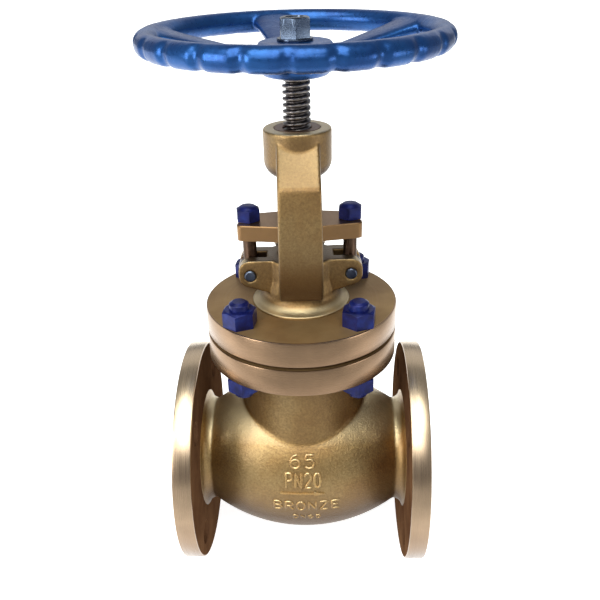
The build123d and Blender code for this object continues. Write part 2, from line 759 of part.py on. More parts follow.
def handwheel():
    """Spoked wheel with a grooved rim and a hub that fits the stem's square."""
    hub = rod(WHEEL_HUB_RADIUS, WHEEL_HUB_LOW, WHEEL_HUB_TOP)
    hub = fillet(hub.edges().filter_by_position(Axis.Z, WHEEL_HUB_LOW - 0.1, WHEEL_HUB_LOW + 0.1), 5)
    hub = fillet(hub.edges().filter_by_position(Axis.Z, WHEEL_HUB_TOP - 0.1, WHEEL_HUB_TOP + 0.1), 2)
    wheel = hub.fuse(*wheel_spokes()).fuse(*rim_lobes())
    hole = SQUARE + 2 * FIT
    return wheel - Pos(0, 0, WHEEL_HUB_LOW - 1) * Box(
        hole, hole, 40, align=(Align.CENTER, Align.CENTER, Align.MIN)
    )


def wheel_washer():
    """Flat washer under the handwheel nut."""
    top = WHEEL_HUB_TOP + WASHER_THICK
    return rod(WASHER_RADIUS, WHEEL_HUB_TOP, top) - rod(TIP_RADIUS + 0.2, WHEEL_HUB_TOP - 1, top + 1)


def wheel_nut():
    """Hexagon nut that holds the handwheel on the stem."""
    return hex_nut(WHEEL_NUT_FLATS, WHEEL_HUB_TOP + WASHER_THICK, WHEEL_NUT_TOP, TIP_RADIUS + FIT, -6.0)


# ---------------------------------------------------------------- all nodes
def yoke_nodes():
    """Sub-parts that turn with the yoke, before its small twist."""
    arm = free_arm()
    nodes = {
        "stuffing_box": stuffing_box(),
        "yoke_arm_front": mirror(arm, Plane.XZ),
        "yoke_arm_back": arm,
        "yoke_hub": yoke_hub(),
        "bush_set_screw": bush_set_screw(),
        "gland_flange": gland_flange(),
    }
    for name, side in (("left", -1), ("right", 1)):
        nodes[f"eyebolt_{name}"] = eyebolt(side)
        nodes[f"eyebolt_pin_{name}"] = eyebolt_pin(side)
        nodes[f"gland_nut_{name}"] = gland_nut(side)
    return nodes


def all_nodes():
    """Every sub-part by node name, in the working frame."""
    nodes = body_sections()
    nodes["seat_ring"] = seat_ring()
    nodes["bonnet_gasket"] = bonnet_gasket()
    nodes["bonnet_flange"] = bonnet_flange()
    nodes["backseat_bush"] = backseat_bush()
    nodes["packing_washer"] = packing_washer()
    nodes["packing_rings"] = packing_rings()
    nodes["yoke_bush"] = yoke_bush()
    nodes["gland_follower"] = gland_follower()
    nodes["disc"] = disc()
    nodes["thrust_plate"] = thrust_plate()
    nodes["disc_nut"] = disc_nut()
    nodes["stem"] = stem()
    nodes["handwheel"] = handwheel()
    nodes["wheel_washer"] = wheel_washer()
    nodes["wheel_nut"] = wheel_nut()
    for name, shape in yoke_nodes().items():
        nodes[name] = Rot(0, 0, YOKE_TWIST) * shape
    bolting = (("bonnet_stud", bonnet_stud()), ("upper_nut", upper_nut()), ("lower_nut", lower_nut()))
    for kind, shape in bolting:
        for index, placed in enumerate(on_circle(STUD_CIRCLE, 4, 45, shape)):
            nodes[f"{kind}_{index + 1}"] = placed
    return nodes


os.makedirs("parts", exist_ok=True)
for node, shape in all_nodes().items():
    export_step(Pos(STEM_X, 0, 0) * shape, f"parts/{node}.step")
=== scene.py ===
import json
import math

import bmesh
import bpy
from mathutils import Matrix, Vector


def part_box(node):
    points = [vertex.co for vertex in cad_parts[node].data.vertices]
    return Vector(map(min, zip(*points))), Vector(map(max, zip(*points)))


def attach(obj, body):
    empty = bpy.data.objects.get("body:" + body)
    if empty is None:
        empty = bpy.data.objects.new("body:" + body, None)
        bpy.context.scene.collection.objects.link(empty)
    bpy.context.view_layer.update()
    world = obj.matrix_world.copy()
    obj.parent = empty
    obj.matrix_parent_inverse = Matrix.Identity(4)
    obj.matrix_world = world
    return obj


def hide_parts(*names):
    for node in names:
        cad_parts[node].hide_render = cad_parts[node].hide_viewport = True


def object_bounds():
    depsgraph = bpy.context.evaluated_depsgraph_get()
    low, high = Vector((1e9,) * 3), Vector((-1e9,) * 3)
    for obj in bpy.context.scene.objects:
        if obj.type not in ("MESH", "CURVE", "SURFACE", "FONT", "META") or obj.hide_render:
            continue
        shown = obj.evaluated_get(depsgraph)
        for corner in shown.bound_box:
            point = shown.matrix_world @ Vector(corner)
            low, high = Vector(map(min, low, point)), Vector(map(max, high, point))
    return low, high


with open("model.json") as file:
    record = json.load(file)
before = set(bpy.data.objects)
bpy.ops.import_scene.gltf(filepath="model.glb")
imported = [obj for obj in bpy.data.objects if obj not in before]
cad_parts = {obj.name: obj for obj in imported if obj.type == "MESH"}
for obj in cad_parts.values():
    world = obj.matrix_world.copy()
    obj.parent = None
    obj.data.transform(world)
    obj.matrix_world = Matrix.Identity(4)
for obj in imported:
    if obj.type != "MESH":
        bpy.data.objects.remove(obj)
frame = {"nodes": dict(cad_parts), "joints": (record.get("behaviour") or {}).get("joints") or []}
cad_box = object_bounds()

MM = 0.001
NODES = frame["nodes"]
JOINTS = {joint["name"]: joint for joint in frame["joints"]}

# The stem's axis is upright through STEM_X; the flow axis is the frame's X axis.
STEM_X = JOINTS["handwheel_turn"]["pos_m"][0]
INLET_X, OUTLET_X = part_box("body_inlet_flange")[0].x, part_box("body_outlet_flange")[1].x
FLANGE_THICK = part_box("body_inlet_flange")[1].x - INLET_X
FLANGE_RADIUS = -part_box("body_inlet_flange")[0].z
COVER_LOW, COVER_TOP = (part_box("body_cover_flange")[side].z for side in (0, 1))
COVER_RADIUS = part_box("body_cover_flange")[1].y
BONNET_LOW, BONNET_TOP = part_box("bonnet_gasket")[1].z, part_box("bonnet_flange")[1].z
SPIGOT_LOW, BUSH_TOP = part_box("bonnet_flange")[0].z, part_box("backseat_bush")[1].z + 0.1 * MM
BUSH_SEAT = BONNET_LOW + 5.2 * MM
BELLY_RADIUS = 64 * MM           # belly in the middle, about the flow axis
BELLY_CURVE = 128.6 * MM         # radius of the belly's outline seen from the front
EDGE = 0.9 * MM                  # rounding of the machined plates' rims

# Sizes the frame's boxes don't give, as in the CAD.
PORT_RADIUS = 31.75 * MM
FLANGE_BOLT_CIRCLE = 139.7 * MM
FLANGE_HOLE_RADIUS = 9.5 * MM
STUD_REACH = 42.39 * MM          # from the stem's axis to a bonnet stud, along X and along Y
STUD_HOLE_RADIUS = 7.9 * MM
BODY_THROAT_RADIUS = 41 * MM     # bore of the body's cover flange
BONNET_BORE_RADIUS = 11 * MM
BUSH_POCKET_RADIUS = 14.5 * MM   # pocket of the backseat bush
CONE_TOP_RADIUS = 22 * MM        # cone-shaped room over the disc, at its top
CONE_LOW_RADIUS = 30 * MM        # and at its foot
SPIGOT_RADIUS = 40.6 * MM        # the bonnet's spigot, inside the body's throat
WHEEL_SECTION = 7.9 * MM         # radius of the handwheel rim's section
SPOKES = 5
FIRST_SPOKE = math.radians(102.3)
SPOKE_START = (12 * MM, 313 * MM)  # (radius, z) inside the wheel's hub

WELD_GAP = 2e-6                  # points this close are one point, in metres
SMOOTH_ALL = 180                 # shading angle for pieces without sharp edges, in degrees
SIDES = (-1, 1)
COPIES = (1, 2, 3, 4)            # the bonnet's studs and nuts


# ---------------------------------------------------------------- mesh helpers
def new_object(name, vertices, faces):
    """A mesh object from plain lists, linked to the scene."""
    mesh = bpy.data.meshes.new(name)
    mesh.from_pydata(vertices, [], faces)
    mesh.validate()
    obj = bpy.data.objects.new(name, mesh)
    bpy.context.scene.collection.objects.link(obj)
    return obj


def grid_faces(rings, ring_size, closed=False):
    """Quads between rings of points; closed joins the last ring to the first."""
    faces = []
    for i in range(rings if closed else rings - 1):
        j = (i + 1) % rings
        for k in range(ring_size):
            n = (k + 1) % ring_size
            faces.append((i * ring_size + k, i * ring_size + n, j * ring_size + n, j * ring_size + k))
    return faces


def turned(name, outline, steps, flow_at=None):
    """Solid of revolution from a closed outline of (radius, height) points with no point on the axis.
    It turns about the stem's axis, or about the flow axis when flow_at gives (x of height 0, direction)."""
    vertices = []
    for step in range(steps):
        angle = 2 * math.pi * step / steps
        for radius, height in outline:
            a, b = radius * math.cos(angle), radius * math.sin(angle)
            if flow_at:
                vertices.append((flow_at[0] + flow_at[1] * height, a, b))
            else:
                vertices.append((STEM_X + a, b, height))
    obj = new_object(name, vertices, grid_faces(steps, len(outline), closed=True))
    return face_outwards(obj)


def face_outwards(obj):
    """Makes every normal point out of a closed mesh."""
    bm = bmesh.new()
    bm.from_mesh(obj.data)
    bmesh.ops.recalc_face_normals(bm, faces=bm.faces)
    bm.to_mesh(obj.data)
    bm.free()
    return obj


def post(name, centre, axis, radius, half_length):
    """Closed cylinder about a point, to cut a hole with."""
    bm = bmesh.new()
    turn = Vector((0, 0, 1)).rotation_difference(Vector(axis)).to_matrix().to_4x4()
    bmesh.ops.create_cone(
        bm, cap_ends=True, segments=48, radius1=radius, radius2=radius, depth=2 * half_length,
        matrix=Matrix.Translation(centre) @ turn,
    )
    obj = new_object(name, [], [])
    bm.to_mesh(obj.data)
    bm.free()
    return obj


def discard(*objects):
    """Removes helper objects."""
    for obj in objects:
        bpy.data.objects.remove(obj)


def bake_modifiers(obj):
    """Replaces an object's mesh by the result of its modifiers."""
    graph = bpy.context.evaluated_depsgraph_get()
    mesh = bpy.data.meshes.new_from_object(obj.evaluated_get(graph))
    obj.modifiers.clear()
    obj.data = mesh
    return obj


def cut(obj, operation, *tools):
    """Exact boolean of obj with each tool; the tools are removed."""
    for tool in tools:
        modifier = obj.modifiers.new("cut", "BOOLEAN")
        modifier.operation = operation
        modifier.solver = "EXACT"
        modifier.object = tool
        bake_modifiers(obj)
    discard(*tools)
    return obj


def joined(name, objects):
    """One mesh that holds all the objects' faces."""
    bm = bmesh.new()
    for obj in objects:
        bm.from_mesh(obj.data)
    result = new_object(name, [], [])
    bm.to_mesh(result.data)
    bm.free()
    discard(*objects)
    return result


def cast_together(obj, voxel, rounds):
    """Remeshes overlapping solids into one skin with soft inner and outer corners."""
    remesh = obj.modifiers.new("skin", "REMESH")
    remesh.mode = "VOXEL"
    remesh.voxel_size = voxel
    smooth = obj.modifiers.new("soft", "SMOOTH")
    smooth.factor = 0.5
    smooth.iterations = rounds
    return bake_modifiers(obj)


def copy_of_cad(name, nodes):
    """One welded mesh copied from some CAD nodes, free to be changed."""
    bm = bmesh.new()
    for node in nodes:
        bm.from_mesh(NODES[node].data)
    bmesh.ops.remove_doubles(bm, verts=bm.verts, dist=WELD_GAP)
    obj = new_object(name, [], [])
    bm.to_mesh(obj.data)
    bm.free()
    return obj


def shade(obj, angle):
    """Smooth shading with sharp edges where faces meet at more than angle degrees."""
    for polygon in obj.data.polygons:
        polygon.use_smooth = True
    obj.data.set_sharp_from_angle(angle=math.radians(angle))
    return obj


def finish_piece(obj, material, body, nodes=(), angle=35):
    """Gives a new piece its finish, body, material slot and replaced nodes."""
    obj.data.materials.clear()
    obj.data.materials.append(material)
    shade(obj, angle)
    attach(obj, body)
    if nodes:
        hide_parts(*nodes)
    return obj


# ---------------------------------------------------------------- material helpers
class Nodes:
    """Short calls for building one material's node tree."""

    def __init__(self, name):
        self.material = bpy.data.materials.new(name)
        self.material.use_nodes = True
        self.tree = self.material.node_tree
        self.shader = self.tree.nodes["Principled BSDF"]
        self.place = self.add("ShaderNodeTexCoord").outputs["Object"]

    def add(self, kind, **settings):
        node = self.tree.nodes.new(kind)
        for key, value in settings.items():
            setattr(node, key, value)
        return node

    def link(self, source, target):
        self.tree.links.new(source, target)

    def set(self, **values):
        """Constants for the shader's own sockets, with _ for a space in a name."""
        for key, value in values.items():
            self.shader.inputs[key.replace("_", " ")].default_value = value
        return self

    def noise(self, size, detail, roughness=0.55):
        """Noise value whose features are about size metres across."""
        node = self.add("ShaderNodeTexNoise")
        node.inputs["Scale"].default_value = 1 / size
        node.inputs["Detail"].default_value = detail
        node.inputs["Roughness"].default_value = roughness
        self.link(self.place, node.inputs["Vector"])
        return node.outputs["Fac"]

    def ramp(self, value, *stops):
        """Colour ramp over (position, colour) stops."""
        node = self.add("ShaderNodeValToRGB")
        elements = node.color_ramp.elements
        while len(elements) < len(stops):
            elements.new(0.5)
        for element, (position, colour) in zip(elements, stops):
            element.position = position
            element.color = (*colour, 1)
        self.link(value, node.inputs["Fac"])
        return node.outputs["Color"]

    def spread(self, value, low, high, from_low=0.3, from_high=0.7):
        """Maps a value's usual range to low..high."""
        node = self.add("ShaderNodeMapRange")
        numbers = {"From Min": from_low, "From Max": from_high, "To Min": low, "To Max": high}
        for key, number in numbers.items():
            node.inputs[key].default_value = number
        self.link(value, node.inputs["Value"])
        return node.outputs["Result"]

    def maths(self, operation, first, second=None):
        """Result of one operation on sockets or numbers."""
        node = self.add("ShaderNodeMath", operation=operation)
        for index, value in enumerate((first, second)):
            if value is None:
                continue
            if isinstance(value, (int, float)):
                node.inputs[index].default_value = value
            else:
                self.link(value, node.inputs[index])
        return node.outputs["Value"]

    def product(self, *values):
        """Product of several values, such as masks."""
        result = values[0]
        for value in values[1:]:
            result = self.maths("MULTIPLY", result, value)
        return result

    def mix(self, factor, first, second):
        """Mix of two colours, each a socket or an (r, g, b). factor is a socket."""
        node = self.add("ShaderNodeMix", data_type="RGBA")
        for index, value in ((6, first), (7, second)):
            if isinstance(value, tuple):
                node.inputs[index].default_value = (*value, 1)
            else:
                self.link(value, node.inputs[index])
        self.link(factor, node.inputs[0])
        return node.outputs[2]

    def bump(self, *layers):
        """Bump from (height value, depth in metres) layers, coarse ones first."""
        normal = None
        for height, depth in layers:
            node = self.add("ShaderNodeBump")
            node.inputs["Distance"].default_value = depth
            node.inputs["Strength"].default_value = 1.0
            self.link(height, node.inputs["Height"])
            if normal:
                self.link(normal, node.inputs["Normal"])
            normal = node.outputs["Normal"]
        self.link(normal, self.shader.inputs["Normal"])

    def colour(self, socket):
        """Base colour from a socket."""
        self.link(socket, self.shader.inputs["Base Color"])

    def roughness(self, socket):
        """Roughness from a socket."""
        self.link(socket, self.shader.inputs["Roughness"])

    def distance_from_axis(self, flow=False):
        """Distance from the stem's axis, or from the flow axis, in metres."""
        shift = self.add("ShaderNodeVectorMath", operation="SUBTRACT")
        self.link(self.place, shift.inputs[0])
        shift.inputs[1].default_value = (0 if flow else STEM_X, 0, 0)
        flat = self.add("ShaderNodeVectorMath", operation="MULTIPLY")
        self.link(shift.outputs[0], flat.inputs[0])
        flat.inputs[1].default_value = (0, 1, 1) if flow else (1, 1, 0)
        length = self.add("ShaderNodeVectorMath", operation="LENGTH")
        self.link(flat.outputs[0], length.inputs[0])
        return length.outputs["Value"]

    def along(self, axis):
        """Place along one of the frame's axes, in metres."""
        split = self.add("ShaderNodeSeparateXYZ")
        self.link(self.place, split.inputs[0])
        return split.outputs[axis]

    def facing(self):
        """How far the surface faces up (1), sideways (0) or down (-1)."""
        split = self.add("ShaderNodeSeparateXYZ")
        self.link(self.add("ShaderNodeTexCoord").outputs["Normal"], split.inputs[0])
        return split.outputs["Z"]

    def line_noise(self, value, size):
        """Noise that varies only with one value, as turning marks do."""
        node = self.add("ShaderNodeTexNoise", noise_dimensions="1D")
        node.inputs["Scale"].default_value = 1 / size
        node.inputs["Detail"].default_value = 2.0
        self.link(value, node.inputs["W"])
        return node.outputs["Fac"]


# ---------------------------------------------------------------- materials
def box_painted_shadow(m):
    """Mask of the painted shadow on the upward faces on top of the stuffing box, under the gland plate."""
    return m.product(
        m.spread(m.along("Z"), 0, 0.8, 176.5 * MM, 177.6 * MM),    # from the lugs' tops up
        m.spread(m.facing(), 0, 1, 0.55, 0.85),
        m.spread(m.distance_from_axis(), 1, 0, 44 * MM, 48 * MM),
        m.spread(m.along("Z"), 1, 0, 190 * MM, 196 * MM),          # and below the arms' inner bends
    )


def eyebolt_slot_shade(m):
    """Mask of the painted shade in the slots that the eyebolts swing in."""
    off_middle = m.maths("ABSOLUTE", m.along("Y"))
    return m.product(
        m.spread(off_middle, 1, 0, 5.6 * MM, 6.2 * MM),            # between the slot's sides
        m.spread(m.along("Z"), 1, 0, 175.5 * MM, 177 * MM),        # below its mouth
        m.spread(m.along("Z"), 0, 1, 152.4 * MM, 153.2 * MM),      # above its floor
        m.spread(m.distance_from_axis(), 0, 0.85, 21 * MM, 23 * MM),
    )


def cast_bronze(name="cast_bronze", lift=1.0, rough=(0.34, 0.50)):
    """Bead-blasted sand casting with fine even grain and broad patches. Its undersides are darkened with
    painted shade and less shiny, its tops are paler with painted light, and the stuffing box's top and
    the eyebolt slots are darkened with painted shadow. lift brightens the colour and rough is the range
    of roughness."""
    m = Nodes(name).set(Coat_Roughness=0.36)
    patches = m.noise(45 * MM, 4)
    grain = m.noise(1.7 * MM, 3, 0.65)
    speck = m.noise(0.6 * MM, 2, 0.7)
    lumps = m.noise(9 * MM, 2)
    shades = [(0.30, (0.28, 0.152, 0.050)), (0.5, (0.38, 0.235, 0.086)), (0.72, (0.46, 0.325, 0.140))]
    lifted = [(at, tuple(min(1.0, lift * part) for part in colour)) for at, colour in shades]
    base = m.ramp(patches, *lifted)
    base = m.mix(m.spread(grain, 0.0, 0.6), base, (0.14, 0.080, 0.028))
    # Painted shade: downward faces are darkened, and their coat, metallic and specular are lowered.
    under = m.spread(m.facing(), 0.0, 1.0, 0.30, -0.40)
    base = m.mix(under, base, (0.085, 0.047, 0.019))
    m.link(m.spread(under, 0.45, 0.0, 0.0, 1.0), m.shader.inputs["Coat Weight"])
    m.link(m.spread(under, 1.0, 0.45, 0.0, 1.0), m.shader.inputs["Metallic"])
    m.link(m.spread(under, 0.5, 0.1, 0.0, 1.0), m.shader.inputs["Specular IOR Level"])
    # Painted light: upward faces are paler.
    base = m.mix(m.spread(m.facing(), 0.0, 0.8, 0.58, 0.86), base, (0.78, 0.64, 0.38))
    # Painted shadow on the stuffing box's top and painted shade in the eyebolt slots, both in near-black
    # brown.
    box_shadow, slot = box_painted_shadow(m), eyebolt_slot_shade(m)
    m.colour(m.mix(m.maths("MAXIMUM", box_shadow, slot), base, (0.055, 0.028, 0.018)))
    m.roughness(m.spread(speck, *rough))
    m.bump((lumps, 0.30 * MM), (grain, 0.32 * MM), (speck, 0.10 * MM))
    return m.material


def turned_bronze(name, tint, flow, rough=(0.22, 0.36), rim=None, faces=(), bare=1.0):
    """Machined bronze with fine turning marks round the stem's axis, or round the flow axis if flow.
    rim is the radius inside which a plate's faces take the two duller colours in faces, and bare is
    how metallic those look. The sealing faces at the ends stay bright."""
    m = Nodes(name).set(Metallic=1.0, Coat_Weight=0.25, Coat_Roughness=0.30)
    along = m.maths("ADD", m.distance_from_axis(flow), m.along("X" if flow else "Z"))
    fine = m.line_noise(along, 0.35 * MM)
    coarse = m.line_noise(along, 2.2 * MM)
    patches = m.noise(30 * MM, 4)
    dark = tuple(0.72 * part for part in tint)
    base = m.mix(m.spread(patches, 0.0, 1.0), dark, tint)
    base = m.mix(m.spread(fine, 0.0, 0.22), base, (0.24, 0.16, 0.10))
    shine = m.spread(m.maths("ADD", fine, m.maths("MULTIPLY", coarse, 0.4)), *rough, 0.4, 1.0)
    # Painted light: upward faces of the plates about the flow axis are paler.
    if flow:
        base = m.mix(m.spread(m.facing(), 0.0, 0.5, 0.4, 0.8), base, (0.78, 0.62, 0.42))
    if rim:
        face = m.spread(m.distance_from_axis(flow), 1.0, 0.0, rim - 0.3 * MM, rim)
        if flow:
            from_middle = m.maths("ABSOLUTE", m.maths("SUBTRACT", m.along("X"), STEM_X))
            sealing = OUTLET_X - STEM_X
            behind = m.spread(from_middle, 1.0, 0.0, sealing - 1.0 * MM, sealing - 0.5 * MM)
            face = m.maths("MULTIPLY", face, behind)
        base = m.mix(face, base, m.mix(m.spread(patches, 0.0, 1.0), *faces))
        shine = m.maths("ADD", shine, m.maths("MULTIPLY", face, 0.16))
        m.link(m.spread(face, 1.0, bare, 0.0, 1.0), m.shader.inputs["Metallic"])
        m.link(m.spread(face, 0.5, bare / 2, 0.0, 1.0), m.shader.inputs["Specular IOR Level"])
        m.link(m.spread(face, 0.25, 0.0, 0.0, 1.0), m.shader.inputs["Coat Weight"])
    # Painted shade: downward faces are darkened.
    m.colour(m.mix(m.spread(m.facing(), 0.0, 0.9, 0.0, -0.6), base, (0.13, 0.070, 0.036)))
    m.roughness(shine)
    depth = 0.012 * MM
    m.bump((coarse, depth), (fine, depth), (m.noise(0.8 * MM, 2), depth))
    return m.material


def blue_enamel():
    """Glossy blue enamel over an unfinished casting."""
    m = Nodes("blue_enamel").set(Metallic=0.75, Coat_Weight=0.1, Coat_Roughness=0.12)
    patches = m.noise(28 * MM, 3)
    peel = m.noise(2.4 * MM, 2)
    lumps = m.noise(9 * MM, 2)
    m.colour(m.ramp(patches, (0.3, (0.008, 0.047, 0.185)), (0.7, (0.014, 0.092, 0.30))))
    m.roughness(m.spread(peel, 0.26, 0.40))
    m.bump((lumps, 0.35 * MM), (peel, 0.05 * MM))
    return m.material


def bolt_blue():
    """Royal blue fluoropolymer coating, thin enough to show the steel's marks."""
    m = Nodes("bolt_blue").set(Metallic=0.5, Coat_Weight=0.1, Coat_Roughness=0.25, Specular_IOR_Level=0.35)
    patches = m.noise(7 * MM, 3)
    grain = m.noise(0.7 * MM, 3)
    shades = [(0.3, (0.004, 0.006, 0.050)), (0.55, (0.006, 0.011, 0.110)), (0.75, (0.009, 0.026, 0.17))]
    m.colour(m.ramp(patches, *shades))
    m.roughness(m.spread(grain, 0.28, 0.46))
    m.bump((m.noise(4 * MM, 2), 0.08 * MM), (grain, 0.03 * MM))
    return m.material


def plain_steel(name, light, dark, rough, depth=0.01):
    """Machined steel with turning marks about the stem's direction."""
    m = Nodes(name).set(Metallic=1.0)
    marks = m.line_noise(m.along("Z"), 0.5 * MM)
    patches = m.noise(6 * MM, 3)
    m.colour(m.mix(m.spread(patches, 0.0, 1.0), dark, light))
    wear = m.maths("ADD", marks, m.maths("MULTIPLY", patches, 0.6))
    m.roughness(m.spread(wear, *rough, 0.5, 1.1))
    m.bump((m.noise(1.2 * MM, 2), 0.02 * MM), (marks, depth * MM))
    return m.material


def threaded_steel():
    """Stem steel, darker in its thread valleys."""
    m = Nodes("stem_steel").set(Metallic=1.0)
    reach = m.distance_from_axis()
    valley = m.spread(reach, 1.0, 0.0, 7.6 * MM, 9.3 * MM)
    stain = m.noise(5 * MM, 4)
    fine = m.line_noise(m.along("Z"), 0.3 * MM)
    metal = m.mix(m.spread(stain, 0.0, 1.0), (0.12, 0.105, 0.10), (0.24, 0.22, 0.21))
    m.colour(m.mix(m.maths("MULTIPLY", valley, 0.7), metal, (0.055, 0.045, 0.043)))
    m.roughness(m.spread(m.maths("ADD", stain, m.maths("MULTIPLY", fine, 0.5)), 0.26, 0.46, 0.5, 1.0))
    m.bump((m.noise(1.5 * MM, 2), 0.03 * MM), (fine, 0.006 * MM))
    return m.material


def graphite(name, size, depth):
    """Dark graphite sheet or braid."""
    m = Nodes(name).set(Metallic=0.1)
    weave = m.noise(size, 3, 0.6)
    m.colour(m.ramp(weave, (0.3, (0.012, 0.012, 0.014)), (0.7, (0.05, 0.05, 0.055))))
    m.roughness(m.spread(weave, 0.45, 0.75))
    m.bump((weave, depth))
    return m.material


def pale_floor():
    """Plain studio floor with painted light: it glows around and behind the valve, and is painted grey in
    front and out to the right.
    """
    m = Nodes("studio_floor").set(Roughness=0.8, Emission_Color=(1, 1, 1, 1))
    right = m.maths("SUBTRACT", m.along("X"), m.maths("MULTIPLY", m.along("Y"), 0.36))
    glow_zone = m.spread(m.along("Y"), 0.0, 1.0, -0.30, -0.07)
    glow_zone = m.maths("MULTIPLY", glow_zone, m.spread(right, 1.0, 0.0, STEM_X + 0.29, STEM_X + 0.80))
    pale = m.ramp(m.noise(0.6, 2), (0.3, (0.88, 0.88, 0.88)), (0.7, (0.90, 0.90, 0.90)))
    # Painted light: the floor is pale and glows around and behind the valve, and is painted grey outside that
    # zone.
    m.colour(m.mix(glow_zone, (0.52, 0.52, 0.52), pale))
    m.link(m.maths("MULTIPLY", glow_zone, 0.80), m.shader.inputs["Emission Strength"])
    return m.material


CAST = cast_bronze()
# The raised marks take a brighter copy of the cast bronze: painted highlight.
LIT_MARKS = cast_bronze("cast_marks_painted_highlight", 1.6, (0.24, 0.36))
RIM_FLOW = turned_bronze("machined_rim_flow", (0.47, 0.335, 0.22), True, rim=FLANGE_RADIUS - EDGE,
                         faces=((0.07, 0.032, 0.016), (0.13, 0.066, 0.032)), bare=0.0)
RIM_STEM = turned_bronze("machined_rim_stem", (0.34, 0.215, 0.125), False, rim=COVER_RADIUS - EDGE,
                         faces=((0.23, 0.137, 0.056), (0.34, 0.218, 0.095)), bare=0.7)
GLAND_BRONZE = turned_bronze("gland_bronze", (0.30, 0.165, 0.066), False, (0.3, 0.45))
BUSH = turned_bronze("bush_bronze", (0.22, 0.125, 0.075), False, (0.4, 0.55))
TRIM = turned_bronze("trim_bronze", (0.40, 0.27, 0.14), False)
ENAMEL = blue_enamel()
BOLT = bolt_blue()
STEM = threaded_steel()
BRIGHT = plain_steel("bright_steel", (0.12, 0.155, 0.21), (0.07, 0.095, 0.14), (0.20, 0.30), 0.003)
DULL = plain_steel("dull_steel", (0.12, 0.075, 0.05), (0.06, 0.035, 0.025), (0.30, 0.50))
BLUED = plain_steel("blued_steel", (0.16, 0.19, 0.25), (0.08, 0.09, 0.13), (0.25, 0.42))
GASKET = graphite("gasket_graphite", 1.5 * MM, 0.05 * MM)
BRAID = graphite("packing_graphite", 0.9 * MM, 0.15 * MM)


# ---------------------------------------------------------------- handwheel
def wheel_rim(z, centre_radius, section):
    """Ring whose outer side has evenly spaced finger grooves. section is its section's radius."""
    grooves, ring = 24, 32
    steps = grooves * 14
    depth, half_width = 2.1 * MM, math.radians(3.2)
    droop = math.radians(18)  # how far the grooves' deepest line lies under the rim's outermost one
    vertices = []
    for step in range(steps):
        angle = 2 * math.pi * step / steps
        pitch = 2 * math.pi / grooves
        offset = abs((angle + pitch / 2) % pitch - pitch / 2)
        groove = 0.5 + 0.5 * math.cos(math.pi * min(1, offset / half_width))
        for k in range(ring):
            turn = 2 * math.pi * k / ring
            size = section - depth * groove * max(0.0, math.cos(turn + droop)) ** 0.7
            radius = centre_radius + size * math.cos(turn)
            vertices.append((
                STEM_X + radius * math.cos(angle), radius * math.sin(angle), z + size * math.sin(turn)
            ))
    return face_outwards(new_object("rim", vertices, grid_faces(steps, ring, closed=True)))


def wheel_spoke(angle, start, end):
    """One spoke from the hub up to the rim, flared where it meets them. start and end are (radius, z)."""
    stations, ring = 18, 20
    across = Vector((-math.sin(angle), math.cos(angle), 0))
    outward = Vector((math.cos(angle), math.sin(angle), 0))
    path = outward * (end[0] - start[0]) + Vector((0, 0, end[1] - start[1]))
    up = path.cross(across).normalized() * -1
    vertices = []
    for station in range(stations):
        t = station / (stations - 1)
        middle = Vector((STEM_X, 0, 0)) + outward * start[0] + Vector((0, 0, start[1])) + path * t
        rim_flare = max(0.0, (t - 0.72) / 0.28) ** 2
        hub_flare = max(0.0, (0.38 - t) / 0.38) ** 2
        half_width = (8.0 + 7.5 * t + 3.5 * rim_flare + 3.0 * hub_flare) * MM
        half_thick = (4.3 + 1.2 * rim_flare + 1.5 * hub_flare) * MM
        for k in range(ring):
            turn = 2 * math.pi * k / ring
            x, y = math.cos(turn), math.sin(turn)
            square = (abs(x) ** 3 + abs(y) ** 3) ** (-1 / 3)
            vertices.append(tuple(middle + across * half_width * square * x + up * half_thick * square * y))
    faces = grid_faces(stations, ring)
    faces.append(tuple(range(ring)))
    faces.append(tuple(range((stations - 1) * ring, stations * ring)))
    return face_outwards(new_object("spoke", vertices, faces))


def handwheel():
    """Rim, spokes and hub cast in one, in blue enamel."""
    low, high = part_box("handwheel")
    rim_radius = (high.x - low.x) / 2 - WHEEL_SECTION
    rim_z = high.z - WHEEL_SECTION
    parts = [wheel_rim(rim_z, rim_radius, WHEEL_SECTION)]
    for index in range(SPOKES):
        angle = FIRST_SPOKE + 2 * math.pi * index / SPOKES
        parts.append(wheel_spoke(angle, SPOKE_START, (rim_radius - 1 * MM, rim_z + 1.2 * MM)))
    outline = [
        (3, 0), (18, 0), (22, 1.2), (24.6, 4.5), (25, 8), (25, 20.5), (24, 22.1), (22, 22.5), (3, 22.5),
    ]
    parts.append(turned("hub", [(r * MM, low.z + z * MM) for r, z in outline], 96))
    wheel = cast_together(joined("handwheel_casting", parts), 1.05 * MM, 7)
    return finish_piece(wheel, ENAMEL, "stem_group", ["handwheel"], SMOOTH_ALL)


# ---------------------------------------------------------------- body
def flange_ring(name, flow_at, outer, low, high, inside):
    """Machined plate with softened rims, about the stem's axis or about the flow axis.
    inside lists its inner side's (radius, height) points from the top face down."""
    e = EDGE
    rim = [
        (outer - e, low), (outer - 0.3 * e, low + 0.3 * e), (outer, low + e),
        (outer, high - e), (outer - 0.3 * e, high - 0.3 * e), (outer - e, high),
    ]
    return turned(name, rim + inside, 160, flow_at)


def end_flange(name, node, x, direction):
    """One end flange with its four bolt holes."""
    bore = [(PORT_RADIUS, FLANGE_THICK), (PORT_RADIUS, 0)]
    plate = flange_ring(name, (x, direction), FLANGE_RADIUS, 0, FLANGE_THICK, bore)
    reach = FLANGE_BOLT_CIRCLE / 2 * math.sqrt(0.5)
    middle = x + direction * FLANGE_THICK / 2
    holes = [
        post("hole", (middle, side * reach, level * reach), (1, 0, 0), FLANGE_HOLE_RADIUS, FLANGE_THICK)
        for side in SIDES for level in SIDES
    ]
    cut(plate, "DIFFERENCE", *holes)
    return finish_piece(plate, RIM_FLOW, "valve_frame", [node])


